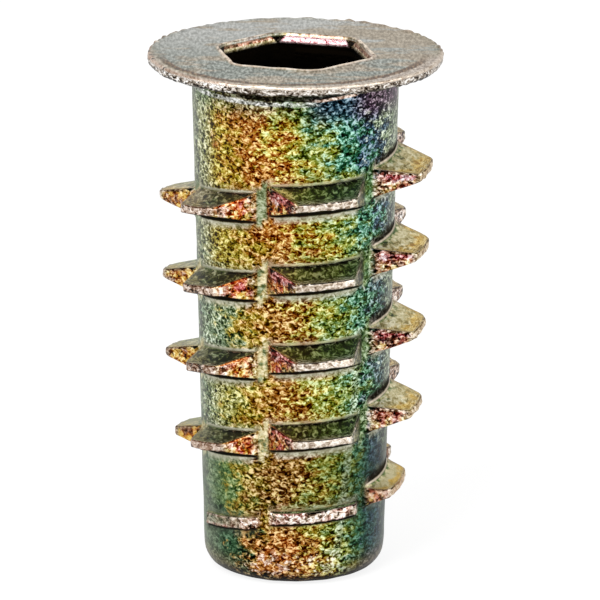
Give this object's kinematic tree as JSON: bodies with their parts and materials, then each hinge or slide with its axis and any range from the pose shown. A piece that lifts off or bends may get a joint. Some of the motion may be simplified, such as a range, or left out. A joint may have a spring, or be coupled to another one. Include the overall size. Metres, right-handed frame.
{
  "type": "threaded insert",
  "caption": "Flanged screw-in threaded insert for wood: a tapered cast barrel with an interrupted knife thread outside, a hex socket in the flanged end and a machine-threaded hole through it.",
  "frame": {"origin": "centre of the tip end's plane, on the axis", "axes": "+Z along the axis from the tip end up to the flange; the middle of a wide blade and one corner of the hex socket stand 13.5 degrees from -Y towards +X"},
  "size_m": [0.014, 0.014, 0.0253],
  "materials": {
    "threaded_insert": "die-cast zinc alloy with a thin iridescent yellow chromate coat, half gloss and finely rough"
  },
  "bodies": {
    "root": {"threaded_insert": "threaded_insert"}
  },
  "joints": []
}
